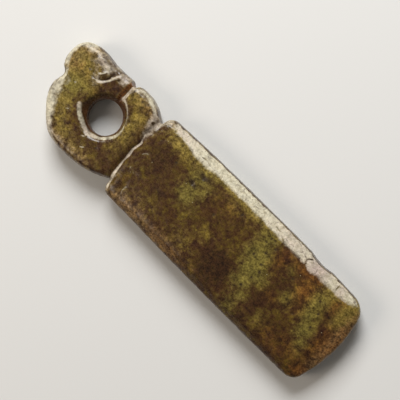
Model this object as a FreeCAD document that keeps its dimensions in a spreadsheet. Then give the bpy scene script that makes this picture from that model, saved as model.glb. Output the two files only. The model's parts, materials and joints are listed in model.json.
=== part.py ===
"""Axe pendant carved from one piece of jade.

The stone is worked as two masses: a ground axe blade, and a thinner coiled beast whose body bends
round a wide drilled hole until its snout meets its tail. Nothing on the real piece comes apart, so
the whole stone is one node. Lengths are millimetres.

Frame: the stone lies on its back. X runs along it, from the beast's crest at -X to the cutting
edge at +X. Y runs across it, with the snout and the tail tip on the +Y side. Z is up, through the
stone, and the origin is the middle of the outline on the surface that the stone lies on. The two
masses are drawn about the middle of the shoulder where they meet, and the finished stone is then
moved to its frame.
"""

import math
import os
from types import SimpleNamespace

import FreeCAD, Part
import Sketcher

NODE = "jade_axe_pendant"

# Driving dimensions: alias, value and what it measures.
SIZES = [
    # The whole stone.
    ("blade_length", 81.8, "shoulder to cutting edge"),
    ("beast_length", 34.8, "shoulder to the crest of the head"),
    ("half_width", 15.5, "long axis to the widest part of either side"),
    ("blade_thickness", 9.6, "through the crown of the blade"),
    ("beast_thickness", 7.8, "through the coiled body"),
    # The blade's outline.
    ("snout_side_bow", 0.8, "how far the snout's side of the blade bows out"),
    ("belly_side_bow", 0.35, "how far the belly's side of the blade bows out"),
    ("shoulder_radius", 110.0, "sweep of the shoulder"),
    ("cutting_edge_radius", 46.0, "sweep of the cutting edge"),
    ("shoulder_corner", 2.6, "radius of the shoulder corners"),
    ("edge_corner_snout", 6.2, "radius of the cutting edge's corner on the snout's side"),
    ("edge_corner_belly", 4.4, "radius of the cutting edge's corner on the belly's side"),
    # The facets ground round the blade, and the crown of its front face.
    ("side_band", 4.2, "thickness left between the facets, all round the blade"),
    ("side_facet", 3.5, "width of the facet along each side"),
    ("edge_facet", 7.0, "width of the facet at the cutting edge"),
    ("shoulder_facet", 2.3, "width of the facet at the shoulder"),
    ("face_shoulder_corner", 1.4, "radius of the face's corners at the shoulder"),
    ("face_edge_corner", 3.2, "radius of the face's corners at the cutting edge"),
    ("crown_across", 240.0, "radius of the crown across the blade"),
    ("crown_along", 900.0, "radius of the crown along the blade"),
    ("border_wear", 0.9, "radius worn on to the facets' borders"),
    # The worn dip in the snout's side.
    ("dip_place", 62.1, "shoulder to the middle of the dip"),
    ("dip_depth", 0.9, "depth of the dip into the side"),
    ("dip_radius", 13.0, "curve of the dip"),
    # The coiled beast.
    ("beast_rounding", 2.4, "radius of the beast's outer edges"),
    ("neck_groove_depth", 0.9, "depth of the groove at the foot of the shoulder"),
    ("neck_groove_half_width", 1.3, "half the width of that groove"),
    # The cord hole, drilled from both faces to a narrow waist.
    ("hole_place", 13.6, "shoulder to the middle of the hole"),
    ("hole_offset", 0.55, "long axis to the middle of the hole"),
    ("hole_radius", 5.5, "radius at the waist"),
    ("hole_waist", 3.0, "length of the straight waist"),
    ("hole_mouth_radius", 7.1, "radius of the flared mouths"),
    ("rim_wear", 0.45, "bevel worn on to the rims of the mouths"),
    # The sawn slit that parts the snout from the tail tip.
    ("slit_place", 13.4, "shoulder to the middle of the slit"),
    ("slit_half_width", 1.1, "half the slit's width at the face"),
    ("slit_depth", 1.5, "depth of the slit in either face"),
    ("slit_notch", 2.4, "widest part of the stone to the foot of the notch in the outline"),
    ("notch_radius", 1.4, "curve of that notch"),
    # The head's relief.
    ("brow_place", 23.4, "shoulder to the middle of the brow"),
    ("brow_offset", 10.1, "long axis to the middle of the brow"),
    ("brow_half_length", 5.4, "half the length of the rounded body that the brow is part of"),
    ("brow_half_width", 3.7, "half the width of that body"),
    ("brow_height", 0.6, "height of the brow above the face"),
    ("cheek_groove_radius", 1.0, "radius of the round tool that cut the cheek groove"),
    ("cheek_groove_depth", 0.7, "depth of the cheek groove"),
    # Overrun of every cut past the surface that it opens.
    ("overrun", 3.0, "overrun of the cuts"),
]

# Control points of the beast's outline, counter-clockwise from the shoulder on the snout's side,
# as shares of its length and of the half width. The first and the last two lie in the blade.
BEAST_OUTLINE_SHARES = [
    (0.090, 0.620),
    (-0.010, 0.715),
    (-0.110, 0.890),
    (-0.245, 0.965),
    (-0.385, 0.920),
    (-0.530, 0.905),
    (-0.660, 0.890),
    (-0.760, 0.960),
    (-0.895, 0.930),
    (-0.990, 0.770),
    (-1.010, 0.440),
    (-0.975, 0.180),
    (-0.885, 0.125),
    (-0.940, -0.100),
    (-0.915, -0.400),
    (-0.790, -0.720),
    (-0.660, -0.985),
    (-0.480, -1.005),
    (-0.280, -0.985),
    (-0.100, -0.860),
    (-0.010, -0.735),
    (0.090, -0.620),
]

# Control points of the groove that runs under the brow and up behind the cheek, as shares of the
# beast's length and of the half width.
CHEEK_GROOVE_SHARES = [
    (-0.730, 0.525),
    (-0.670, 0.455),
    (-0.605, 0.515),
    (-0.560, 0.670),
    (-0.568, 0.770),
    (-0.515, 0.890),
]

# Faces that meet at more than this are parted by an edge that wear has rounded, in degrees.
CREASE_DEGREES = 8

# Turn between the beast's face, the two bevels that round its edges, and its side, in degrees.
BEVEL_TURN = 30

# Place of one vertex of a sketch's geometry, as its constraints name it.
START = 1
END = 2
CENTRE = 3


class Size:
    """A length that carries its value and the expression that works it out from the sheet."""

    def __init__(self, value, text):
        self.value = value
        self.text = text

    def __add__(self, other):
        return Size(self.value + other.value, f"({self.text} + {other.text})")

    def __sub__(self, other):
        return Size(self.value - other.value, f"({self.text} - {other.text})")

    def __mul__(self, factor):
        if isinstance(factor, Size):
            return Size(self.value * factor.value, f"({self.text} * {factor.text})")
        return Size(self.value * factor, f"({self.text} * ({factor}))")

    def __truediv__(self, divisor):
        if isinstance(divisor, Size):
            return Size(self.value / divisor.value, f"({self.text} / {divisor.text})")
        return Size(self.value / divisor, f"({self.text} / {divisor})")

    def __neg__(self):
        return self * -1


NOTHING = Size(0, "0")


def driving_sizes(doc):
    """Fills the sheet and returns every driving dimension as a Size under its alias."""
    sheet = doc.addObject("Spreadsheet::Sheet", "Sizes")
    sizes = {}
    for row, (alias, value, meaning) in enumerate(SIZES, start=1):
        sheet.set(f"A{row}", alias)
        sheet.set(f"B{row}", str(value))
        sheet.set(f"C{row}", meaning)
        sheet.setAlias(f"B{row}", alias)
        sizes[alias] = Size(value, f"Sizes.{alias}")
    doc.recompute()
    return SimpleNamespace(**sizes)


def bind(owner, name, size):
    """Ties one property to the sheet."""
    owner.setExpression(name, size.text)


def feature(body, kind, name, **properties):
    """Adds a feature to a body: sizes are bound to the sheet and anything else is set."""
    made = body.newObject(f"PartDesign::{kind}", name)
    made.Refine = False
    for key, value in properties.items():
        if isinstance(value, Size):
            bind(made, key, value)
        else:
            setattr(made, key, value)
    return made


def origin_part(body, role):
    """The body's own origin plane or axis."""
    return next(part for part in body.Origin.OriginFeatures if part.Role == role)


class Drawing:
    """A sketch whose points and radii are tied to the sheet.

    It lies on one of its body's origin planes, raised by a level, or square across a path's start.
    """

    def __init__(self, body, name, plane=None, level=NOTHING, across=None):
        self.sketch = body.newObject("Sketcher::SketchObject", name)
        if across is not None:
            self.sketch.AttachmentSupport = [(across.sketch, "Edge1")]
            self.sketch.MapMode = "NormalToEdge"
        else:
            self.sketch.AttachmentSupport = [(origin_part(body, plane), "")]
            self.sketch.MapMode = "FlatFace"
            bind(self.sketch, "AttachmentOffset.Base.z", level)

    def constrain(self, *terms):
        """Adds a constraint, whose last term may be a Size that then drives it."""
        size = terms[-1]
        if not isinstance(size, Size):
            self.sketch.addConstraint(Sketcher.Constraint(*terms))
            return
        index = self.sketch.addConstraint(Sketcher.Constraint(*terms[:-1], size.value))
        self.sketch.setExpression(f"Constraints[{index}]", size.text)

    def pin(self, geometry, vertex, x, y):
        """Holds a vertex at its two coordinates, each a Size, or None where it lies on the axis."""
        if x is None:
            self.constrain("PointOnObject", geometry, vertex, -2)
        else:
            self.constrain("DistanceX", -1, 1, geometry, vertex, x)
        if y is None:
            self.constrain("PointOnObject", geometry, vertex, -1)
        else:
            self.constrain("DistanceY", -1, 1, geometry, vertex, y)

    def polygon(self, corners):
        """A closed outline of straight lines through the given corners."""
        places = [place(corner) for corner in corners]
        lines = []
        for start, end in zip(places, places[1:] + places[:1]):
            lines.append(self.sketch.addGeometry(Part.LineSegment(start, end), False))
        for line, following in zip(lines, lines[1:] + lines[:1]):
            self.constrain("Coincident", line, END, following, START)
        for line, (x, y) in zip(lines, corners):
            self.pin(line, START, x, y)

    def axis(self, start, end):
        """A construction line, for a feature that turns about it."""
        line = self.sketch.addGeometry(Part.LineSegment(place(start), place(end)), True)
        self.pin(line, START, *start)
        self.pin(line, END, *end)

    def circle(self, centre, radius):
        """A circle about a pinned centre."""
        ring = Part.Circle(place(centre), FreeCAD.Vector(0, 0, 1), radius.value)
        geometry = self.sketch.addGeometry(ring, False)
        self.pin(geometry, CENTRE, *centre)
        self.constrain("Radius", geometry, radius)

    def spline(self, points, closed):
        """A smooth curve that the given control points draw in towards themselves."""
        curve = Part.BSplineCurve()
        poles = [place(point) for point in points]
        if closed:
            curve.buildFromPolesMultsKnots(poles, periodic=True, degree=3)
        else:
            curve.buildFromPoles(poles, False, 3)
        geometry = self.sketch.addGeometry(curve, False)
        self.sketch.exposeInternalGeometry(geometry)
        for pole, point in enumerate(points, start=geometry + 1):
            self.pin(pole, CENTRE, *point)

    def rounded_outline(self, sides, corners):
        """Four bowed sides, counter-clockwise, each a centre and a radius, joined by corner arcs.

        Each corner is the radius of the arc after its side and the point that the arc rounds off.
        """
        blends = []
        for index, (radius, point) in enumerate(corners):
            following = sides[(index + 1) % len(sides)]
            blends.append(touching_arc(sides[index], following, radius, point))
        arcs = []
        for index, (centre, radius) in enumerate(sides):
            start = blends[index - 1][2]
            end = blends[index][1]
            arcs.append(self.arc(centre, radius, start, end, pinned=True))
            centre, start, end = blends[index]
            arcs.append(self.arc(centre, corners[index][0], start, end, pinned=False))
        for arc, following in zip(arcs, arcs[1:] + arcs[:1]):
            self.constrain("Tangent", arc, END, following, START)

    def arc(self, centre, radius, start, end, pinned):
        """A counter-clockwise arc from one place to another, its centre pinned or left to others."""
        middle = place(centre) if pinned else centre
        circle = Part.Circle(middle, FreeCAD.Vector(0, 0, 1), radius.value)
        first = math.atan2(start.y - middle.y, start.x - middle.x)
        last = math.atan2(end.y - middle.y, end.x - middle.x)
        geometry = self.sketch.addGeometry(Part.ArcOfCircle(circle, first, last), False)
        if pinned:
            self.pin(geometry, CENTRE, *centre)
        self.constrain("Radius", geometry, radius)
        return geometry


def place(point):
    """Where a point lies now, given as two Sizes, or None where it is on the axis."""
    x, y = (0 if size is None else size.value for size in point)
    return FreeCAD.Vector(x, y, 0)


def touching_arc(first, second, radius, point):
    """Centre and ends of the arc that rounds off the corner, inside both circles."""
    (first_centre, first_radius), (second_centre, second_radius) = first, second
    a, b = place(first_centre), place(second_centre)
    reach_a = first_radius.value - radius.value
    reach_b = second_radius.value - radius.value
    gap = a.distanceToPoint(b)
    along = (reach_a ** 2 - reach_b ** 2 + gap ** 2) / (2 * gap)
    aside = math.sqrt(reach_a ** 2 - along ** 2)
    line = (b - a).normalize()
    normal = FreeCAD.Vector(-line.y, line.x, 0)
    centres = [a + line * along + normal * aside, a + line * along - normal * aside]
    centre = min(centres, key=place(point).distanceToPoint)
    start = a + (centre - a).normalize() * first_radius.value
    end = b + (centre - b).normalize() * second_radius.value
    return centre, start, end


def bow_radius(half_chord, bow):
    """Radius of the arc that stands proud of its chord by the bow."""
    return (half_chord * half_chord + bow * bow) / (bow * 2)


def draw_plan(drawing, size, facets, corners):
    """The blade seen from the front, set in by the widths of the facets at its edge, sides and
    shoulder, with the radii of its corners: snout's side and belly's side of the edge, shoulder.
    """
    edge_facet, side_facet, shoulder_facet = facets
    snout_corner, belly_corner, shoulder_corner = corners
    middle = size.blade_length / 2
    snout_radius = bow_radius(middle, size.snout_side_bow)
    belly_radius = bow_radius(middle, size.belly_side_bow)
    cutting_edge = ((size.blade_length - size.cutting_edge_radius, None),
                    size.cutting_edge_radius - edge_facet)
    snout_side = ((middle, size.half_width - snout_radius), snout_radius - side_facet)
    shoulder = ((size.shoulder_radius, None), size.shoulder_radius - shoulder_facet)
    belly_side = ((middle, belly_radius - size.half_width), belly_radius - side_facet)
    drawing.rounded_outline(
        sides=[cutting_edge, snout_side, shoulder, belly_side],
        corners=[
            (snout_corner, (size.blade_length, size.half_width)),
            (shoulder_corner, (None, size.half_width)),
            (shoulder_corner, (None, -size.half_width)),
            (belly_corner, (size.blade_length, -size.half_width)),
        ],
    )


def make_blade(doc, size):
    """The ground axe blade: facets all round, a crowned front face and a flat back."""
    body = doc.addObject("PartDesign::Body", "Blade")
    outline = {"facets": (NOTHING, NOTHING, NOTHING),
               "corners": (size.edge_corner_snout, size.edge_corner_belly, size.shoulder_corner)}
    face = {"facets": (size.edge_facet, size.side_facet, size.shoulder_facet),
            "corners": (size.face_edge_corner, size.face_edge_corner, size.face_shoulder_corner)}
    sections = []
    for name, level, plan in [
        ("BackFace", -size.blade_thickness / 2, face),
        ("BackOutline", -size.side_band / 2, outline),
        ("FrontOutline", size.side_band / 2, outline),
        ("FrontFace", size.blade_thickness / 2, face),
    ]:
        drawing = Drawing(body, name, "XY_Plane", level)
        draw_plan(drawing, size, **plan)
        sections.append(drawing.sketch)
    feature(body, "AdditiveLoft", "Ground", Profile=sections[0], Sections=sections[1:], Ruled=True)

    waste = Drawing(body, "CrownSection", "YZ_Plane", size.blade_length / 2)
    draw_crown(waste, size)
    crown = feature(body, "Groove", "Crown", Profile=waste.sketch, Angle=crown_turn(size),
                    ReferenceAxis=(waste.sketch, ["Axis0"]), Midplane=True)
    doc.recompute()
    feature(body, "Fillet", "WornBorders", Base=(crown, creases(crown)), Radius=size.border_wear)

    dip = Drawing(body, "DipCircle", "XY_Plane")
    dip.circle((size.dip_place, size.half_width - size.dip_depth + size.dip_radius), size.dip_radius)
    feature(body, "Pocket", "WornDip", Profile=dip.sketch, Midplane=True,
            Length=size.blade_thickness + size.overrun)
    return body


def draw_crown(drawing, size):
    """The waste above the crown, in section across the blade, with the axis that it turns about."""
    top = size.blade_thickness / 2
    reach = size.half_width + size.overrun
    above = top + size.overrun
    fall = math.sqrt(size.crown_across.value ** 2 - reach.value ** 2)
    centre = (None, top - size.crown_across)
    right = FreeCAD.Vector(reach.value, centre[1].value + fall, 0)
    left = FreeCAD.Vector(-reach.value, right.y, 0)
    arc = drawing.arc(centre, size.crown_across, right, left, pinned=True)
    corners = [place((-reach, above)), place((reach, above))]
    lines = []
    for start, end in [(left, corners[0]), (corners[0], corners[1]), (corners[1], right)]:
        lines.append(drawing.sketch.addGeometry(Part.LineSegment(start, end), False))
    chain = [arc, *lines]
    for line, following in zip(chain, chain[1:] + chain[:1]):
        drawing.constrain("Coincident", line, END, following, START)
    drawing.pin(lines[1], START, -reach, above)
    drawing.pin(lines[1], END, reach, above)
    drawing.constrain("Vertical", lines[0])
    drawing.constrain("Vertical", lines[2])
    pivot = top - size.crown_along
    drawing.axis((-reach, pivot), (reach, pivot))


def crown_turn(size):
    """Angle that carries the crown's section past both ends of the blade, in degrees."""
    share = size.blade_length / size.crown_along
    return Size(2 * math.degrees(math.asin(share.value)), f"2 * asin({share.text})")


def outline_points(shares, size):
    """Control points of the beast's carving, from shares of its length and the half width."""
    return [(size.beast_length * x, size.half_width * y) for x, y in shares]


def make_beast(doc, size):
    """The coiled beast: a thinner slab, its edges rounded, bored, slit and carved on both faces."""
    body = doc.addObject("PartDesign::Body", "Beast")
    outline = Drawing(body, "BeastOutline", "XY_Plane")
    outline.spline(outline_points(BEAST_OUTLINE_SHARES, size), closed=True)
    slab = feature(body, "Pad", "Slab", Profile=outline.sketch, Length=size.beast_thickness,
                   SideType="Symmetric")
    round_edges(doc, body, slab, size)

    brow = feature(body, "AdditiveEllipsoid", "Brow",
                   Radius1=size.beast_thickness / 2 + size.brow_height,
                   Radius2=size.brow_half_length, Radius3=size.brow_half_width)
    brow.AttachmentSupport = [(origin_part(body, "XY_Plane"), "")]
    brow.MapMode = "FlatFace"
    bind(brow, "AttachmentOffset.Base.x", -size.brow_place)
    bind(brow, "AttachmentOffset.Base.y", size.brow_offset)

    cut_cord_hole(doc, body, size)
    cut_slit(body, size)
    cut_neck_groove(body, size)
    cut_cheek_grooves(doc, body, size)
    return body


def round_edges(doc, body, slab, size):
    """Rounds the edges of the slab with two bevels, both ground to touch the same quarter circle.

    The first tilts one turn from the face, and the second, one more, takes off the edge that the
    first has left along the side.
    """
    radius = size.beast_rounding
    half_turn = tangent(BEVEL_TURN / 2)
    full_turn = tangent(BEVEL_TURN)
    doc.recompute()
    first = feature(body, "Chamfer", "FaceBevel", Base=(slab, creases(slab)),
                    ChamferType="Two distances", Size=radius - radius * full_turn,
                    Size2=radius - radius * half_turn)
    doc.recompute()
    side_edges = creases(first, sharper_than=BEVEL_TURN * 3 / 2)
    feature(body, "Chamfer", "SideBevel", Base=(first, side_edges),
            Size=radius * full_turn - radius * half_turn)


def tangent(degrees):
    """The tangent of an angle, as a Size that may scale another."""
    return Size(math.tan(math.radians(degrees)), f"tan({degrees})")


def creases(made, sharper_than=CREASE_DEGREES):
    """Names of the edges where two faces of a feature's shape meet at more than an angle."""
    names = []
    for index, edge in enumerate(made.Shape.Edges, start=1):
        if edge.Degenerated:
            continue
        faces = made.Shape.ancestorsOfType(edge, Part.Face)
        if len(faces) == 2 and bend(edge, *faces) > sharper_than:
            names.append(f"Edge{index}")
    return names


def bend(edge, face, other):
    """Angle in degrees between two faces where they meet at the middle of an edge."""
    middle = edge.valueAt((edge.FirstParameter + edge.LastParameter) / 2)
    normals = [side.normalAt(*side.Surface.parameter(middle)) for side in (face, other)]
    return math.degrees(normals[0].getAngle(normals[1]))


def cut_cord_hole(doc, body, size):
    """The hole, drilled from both faces: flared mouths that meet in a short straight waist."""
    face = size.beast_thickness / 2
    beyond = face + size.overrun
    waist = size.hole_waist / 2
    axis_x = -size.hole_place
    wall_x = axis_x + size.hole_radius
    mouth_x = axis_x + size.hole_mouth_radius
    section = Drawing(body, "HoleSection", "XZ_Plane", -size.hole_offset)
    section.polygon([
        (axis_x, -beyond),
        (mouth_x, -beyond),
        (mouth_x, -face),
        (wall_x, -waist),
        (wall_x, waist),
        (mouth_x, face),
        (mouth_x, beyond),
        (axis_x, beyond),
    ])
    section.axis((axis_x, -beyond), (axis_x, beyond))
    hole = feature(body, "Groove", "CordHole", Profile=section.sketch,
                   ReferenceAxis=(section.sketch, ["Axis0"]), Angle=360)
    doc.recompute()
    rims = [name for name in creases(hole) if on_mouth(hole.Shape.getElement(name), size)]
    feature(body, "Chamfer", "WornRims", Base=(hole, rims), Size=size.rim_wear)


def on_mouth(edge, size):
    """True for the rim of either mouth of the cord hole."""
    if not isinstance(edge.Curve, Part.Circle):
        return False
    centre = edge.Curve.Center
    across = math.hypot(centre.x + size.hole_place.value, centre.y - size.hole_offset.value)
    height = abs(centre.z)
    return across < size.rim_wear.value and height > size.hole_waist.value


def cut_slit(body, size):
    """The slit from the hole to the outline: a V in either face, and a notch in the outline."""
    face = size.beast_thickness / 2
    middle = -size.slit_place
    for name, side in [("FrontSlit", 1), ("BackSlit", -1)]:
        section = Drawing(body, f"{name}Section", "XZ_Plane", -size.hole_offset)
        section.polygon([
            (middle, (face - size.slit_depth) * side),
            (middle - size.slit_half_width * side, face * side),
            (middle - size.slit_half_width * side, (face + size.overrun) * side),
            (middle + size.slit_half_width * side, (face + size.overrun) * side),
            (middle + size.slit_half_width * side, face * side),
        ])
        feature(body, "Pocket", name, Profile=section.sketch, Length=size.half_width + size.overrun)
    notch = Drawing(body, "NotchCircle", "XY_Plane")
    notch.circle((middle, size.half_width - size.slit_notch + size.notch_radius), size.notch_radius)
    feature(body, "Pocket", "SlitNotch", Profile=notch.sketch, Midplane=True,
            Length=size.beast_thickness + size.overrun)


def cut_neck_groove(body, size):
    """The groove across both faces at the foot of the shoulder, which sets the beast off."""
    face = size.beast_thickness / 2
    for name, side in [("FrontNeckGroove", 1), ("BackNeckGroove", -1)]:
        section = Drawing(body, f"{name}Section", "XZ_Plane")
        section.polygon([
            (None, (face - size.neck_groove_depth) * side),
            (-size.neck_groove_half_width * side, face * side),
            (-size.neck_groove_half_width * side, (face + size.overrun) * side),
            (size.neck_groove_half_width * side, (face + size.overrun) * side),
            (size.neck_groove_half_width * side, face * side),
        ])
        feature(body, "Pocket", name, Profile=section.sketch, Midplane=True,
                Length=(size.half_width + size.overrun) * 2)


def cut_cheek_grooves(doc, body, size):
    """The round groove under the brow and behind the cheek, on the front and again on the back."""
    level = size.beast_thickness / 2 + size.cheek_groove_radius - size.cheek_groove_depth
    path = Drawing(body, "CheekGroovePath", "XY_Plane", level)
    path.spline(outline_points(CHEEK_GROOVE_SHARES, size), closed=False)
    doc.recompute()
    tool = Drawing(body, "CheekGrooveTool", across=path)
    tool.circle((None, None), size.cheek_groove_radius)
    groove = feature(body, "SubtractivePipe", "CheekGroove", Profile=tool.sketch,
                     Spine=(path.sketch, ["Edge1"]))
    doc.recompute()
    mirror = feature(body, "Mirrored", "BackCheekGroove", Originals=[groove],
                     MirrorPlane=(origin_part(body, "XY_Plane"), [""]))
    body.Tip = mirror


def main():
    """Builds the stone, checks it and writes its file."""
    doc = FreeCAD.newDocument("AxePendant")
    size = driving_sizes(doc)
    blade = make_blade(doc, size)
    beast = make_beast(doc, size)

    stone = doc.addObject("Part::Fuse", "Stone")
    stone.Label = NODE
    stone.Base = blade
    stone.Tool = beast
    stone.Refine = False
    bind(stone, "Placement.Base.x", (size.beast_length - size.blade_length) / 2)
    bind(stone, "Placement.Base.z", size.blade_thickness / 2)
    doc.recompute()

    for item in doc.Objects:
        if "Invalid" in item.State or "Error" in item.State:
            raise RuntimeError(f"{item.Name} failed to build: {item.State}")
    shape = stone.Shape
    if shape.isNull() or not shape.isValid() or len(shape.Solids) != 1:
        raise RuntimeError("the stone is not one valid solid")

    os.makedirs("parts", exist_ok=True)
    shape.exportStep(f"parts/{NODE}.step")
    box = shape.optimalBoundingBox()
    print(f"{NODE}: {box.XLength:.2f} x {box.YLength:.2f} x {box.ZLength:.2f} mm,",
          f"{shape.Volume / 1000:.2f} cm3, {len(shape.Faces)} faces")


main()
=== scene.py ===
import json
import math
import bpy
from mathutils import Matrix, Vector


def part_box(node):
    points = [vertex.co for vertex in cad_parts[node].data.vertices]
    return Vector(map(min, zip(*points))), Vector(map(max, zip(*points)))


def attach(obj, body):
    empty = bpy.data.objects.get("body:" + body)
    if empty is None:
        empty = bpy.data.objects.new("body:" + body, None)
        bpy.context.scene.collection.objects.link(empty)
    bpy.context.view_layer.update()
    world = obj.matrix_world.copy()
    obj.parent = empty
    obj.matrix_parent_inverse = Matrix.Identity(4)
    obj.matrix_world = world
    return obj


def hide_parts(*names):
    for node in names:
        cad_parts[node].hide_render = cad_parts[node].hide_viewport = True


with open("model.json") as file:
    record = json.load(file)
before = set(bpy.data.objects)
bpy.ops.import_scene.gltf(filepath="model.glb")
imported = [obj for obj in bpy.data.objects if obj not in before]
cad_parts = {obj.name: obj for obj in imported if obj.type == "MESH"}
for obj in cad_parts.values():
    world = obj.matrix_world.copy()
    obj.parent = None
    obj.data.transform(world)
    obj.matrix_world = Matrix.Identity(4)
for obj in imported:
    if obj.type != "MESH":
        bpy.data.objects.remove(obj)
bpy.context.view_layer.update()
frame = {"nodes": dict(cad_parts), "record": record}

from types import SimpleNamespace

import bmesh
import bpy
import numpy as np
from mathutils import Matrix, Vector

# A carved jade axe pendant, lying on its flat back on a pale floor. One piece stands for the whole
# stone: the CAD solid's own form, worn, chipped and carved finer, in one jade material.
#
# The frame is the CAD's: X along the stone to the cutting edge, Y across it to the side with the
# snout, Z up out of the front face. Shaping is done in millimetres and the scene is in metres.
MM = 0.001

NODE = "jade_axe_pendant"
BACK_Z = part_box(NODE)[0].z / MM
CORD_HOLE = next(mount for mount in frame["record"]["mounts"] if mount["name"] == "cord_hole")
HOLE_X, HOLE_Y, _ = (value / MM for value in CORD_HOLE["pos_m"])
HOLE_RADIUS = CORD_HOLE["dims"]["r_mm"]

# The shoulder, where the beast ends and the blade starts.
SHOULDER_X = -23.5

# How near two points of the CAD mesh are one point, and the grid that the stone is carved on.
WELD = 0.001
GRID = 0.32

# The inputs of the worn skin's tree, by name. Its heights and sizes are in millimetres.
SKIN = {
    "Wear Passes": 3,
    "Undulation": 0.11,
    "Undulation Size": 13.0,
    "Chatter": 0.045,
    "Chatter Size": 2.4,
    "Pit Depth": 0.16,
    "Pit Spacing": 2.6,
    "Pit Radius": 0.42,
    "Chip Depth": 0.16,
    "Chip Size": 1.5,
    "Relief Passes": 14,
    "Rubbed Passes": 16,
    "Seed": 7.0,
}

# The line that wear has drawn round each mouth of the hole: angle in degrees, which goes on past a
# full turn, radius, half width of its pale rim and how pale that is. The pale rim is partly worn skin
# and partly painted highlight, strongest where the rim faces the key lamp.
MOUTH_RIM = [
    (105, 6.8, 0.2, 0.1), (160, 6.8, 0.2, 0.1), (187, 7.8, 0.4, 0.15), (194, 8.0, 0.75, 0.85),
    (208, 7.4, 0.7, 0.8), (225, 6.8, 0.7, 0.8), (242, 6.5, 0.6, 0.75), (258, 6.4, 0.65, 0.75),
    (270, 6.7, 0.85, 0.8), (281, 6.4, 0.6, 0.75), (300, 6.3, 0.5, 0.75), (325, 6.4, 0.55, 0.8),
    (345, 6.8, 0.6, 0.8), (365, 7.1, 0.4, 0.7), (385, 7.1, 0.2, 0.6), (405, 7.5, 0.2, 0.6),
    (433, 8.1, 0.35, 0.65), (446, 8.2, 0.45, 0.65), (455, 7.8, 0.3, 0.2),
]

# How wear has sunk the stone inside that line: full depth, the line's radius where it starts, how
# much more radius gives the full depth, and how far out from the hole's wall that depth reaches.
FLARE_DEPTH = 0.6
FLARE_START = 6.3
FLARE_REACH = 2.0
FLARE_CLEARANCE = 0.6

# The soil in the mouths stops inside the pale rim: by a share of its half width, after a fade.
SOIL_EDGE_SHARE = 0.5
SOIL_FADE = 1.1

# The slit's walls: how far the slit lies from the hole's middle, its half width with the fade beside
# it, where its marks start above the hole's edge, and how pale the tail's wall is, a pale that is
# partly painted highlight on the wall that faces the key lamp.
SLIT_SHIFT = 0.2
SLIT_HALF_WIDTHS = (1.0, 1.4)
SLIT_START = (1.0, 2.2)
TAIL_WALL_PALE_AND_HIGHLIGHT = 0.7

# The arris of the shoulder, as a hand has cut it: Y, X, half width and how pale it is. Its pale is
# partly painted highlight on the bevel that faces the key lamp.
NECK_LINE = [
    (-14.0, -21.6, 0.4, 0.7), (-12.2, -22.3, 0.5, 0.8), (-9.2, -23.0, 0.5, 0.85), (-6.0, -23.4, 0.4, 0.8),
    (-4.0, -23.6, 0.3, 0.6), (-1.4, -23.6, 0.55, 0.7), (0.2, -23.9, 0.35, 0.85), (1.4, -23.6, 0.35, 0.7),
    (3.2, -23.3, 0.4, 0.8), (4.4, -23.9, 0.35, 0.45), (5.4, -24.1, 0.4, 0.7), (7.2, -23.6, 0.35, 0.3),
    (9.0, -23.4, 0.8, 0.6), (12.7, -22.9, 0.9, 0.75),
]

# The radius of the shoulder's even sweep in the CAD, how far from the arris and how far out along it
# the stone strays with it, and where the pale of the arris ends.
SHOULDER_SWEEP = 110
STRAY_REACH = (1.2, 3.0)
STRAY_ENDS = (9.0, 12.5)
ARRIS_ENDS = (13.0, 15.0)

# The crease of the belly's facet, how wide it is rubbed, and where that starts past the shoulder.
BELLY_CREASE_Y = -12.2
RUBBED_WIDTHS = (0.7, 2.0)
RUBBED_START = (2.0, 5.0)

# How far up a face has to point, as its normal's Z, before a mark shows on it and before it shows in
# full. The bevels' paleness stops in the same way where they turn into the flat faces.
CARVED_FACE = (0.25, 0.7)
MARKED_FACE = (0.2, 0.5)
FLARED_FACE = (0.15, 0.5)
RUBBED_FACE = (0.3, 0.6)
STRIP_FACE = (0.4, 0.72)
BEVEL_TO_FACE = (0.8, 0.985)

# How far a wall of the slit has to face along X, in the same way.
WALL_FACE = (0.1, 0.4)

# Strokes of the carver on each face of the beast: half width, height and path. A cut has a height
# below zero.
STROKES = [
    # Brow, a worn boss that leans over the eye.
    (1.2, 0.42, [(-50.4, 11.0), (-49.2, 12.2), (-47.6, 13.2), (-46.6, 13.6)]),
    # Eye, with a lid over it, a small hollow, and a crescent on its lower edge.
    (0.6, 0.2, [(-49.0, 10.2), (-48.2, 11.6), (-46.6, 12.2), (-45.0, 11.9)]),
    (0.6, -0.25, [(-46.9, 10.1), (-46.1, 10.8), (-45.3, 11.3)]),
    (0.42, 0.34, [(-46.9, 8.8), (-46.2, 9.3), (-45.6, 10.0), (-45.1, 10.9)]),
    # Cheek, worn almost full where its groove starts, with a ridge that climbs to the snout.
    (1.1, 0.55, [(-49.4, 8.6), (-48.4, 8.1), (-47.2, 7.7), (-46.0, 7.8)]),
    (1.1, 0.7, [(-46.2, 7.8), (-45.0, 8.7), (-44.2, 9.8), (-43.8, 11.0)]),
    (0.75, 0.4, [(-46.6, 6.7), (-45.4, 6.9), (-44.5, 7.5), (-43.7, 8.4), (-43.0, 9.5),
                 (-42.5, 10.6), (-42.0, 11.8), (-41.3, 13.4)]),
    # Snout, cut lower than the cheek.
    (1.2, -0.2, [(-40.6, 9.6), (-39.8, 11.4), (-39.5, 13.4)]),
    # Nicks and scratches.
    (0.4, -0.26, [(-50.5, 2.5), (-50.0, 1.8)]),
    (0.35, -0.2, [(-46.4, 5.2), (-45.8, 5.7)]),
    (0.35, -0.22, [(-47.0, -5.2), (-45.9, -4.7)]),
    (0.35, -0.2, [(-36.2, -10.5), (-34.8, -9.7)]),
    (0.35, -0.2, [(-38.0, -7.8), (-37.0, -7.3)]),
]

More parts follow.
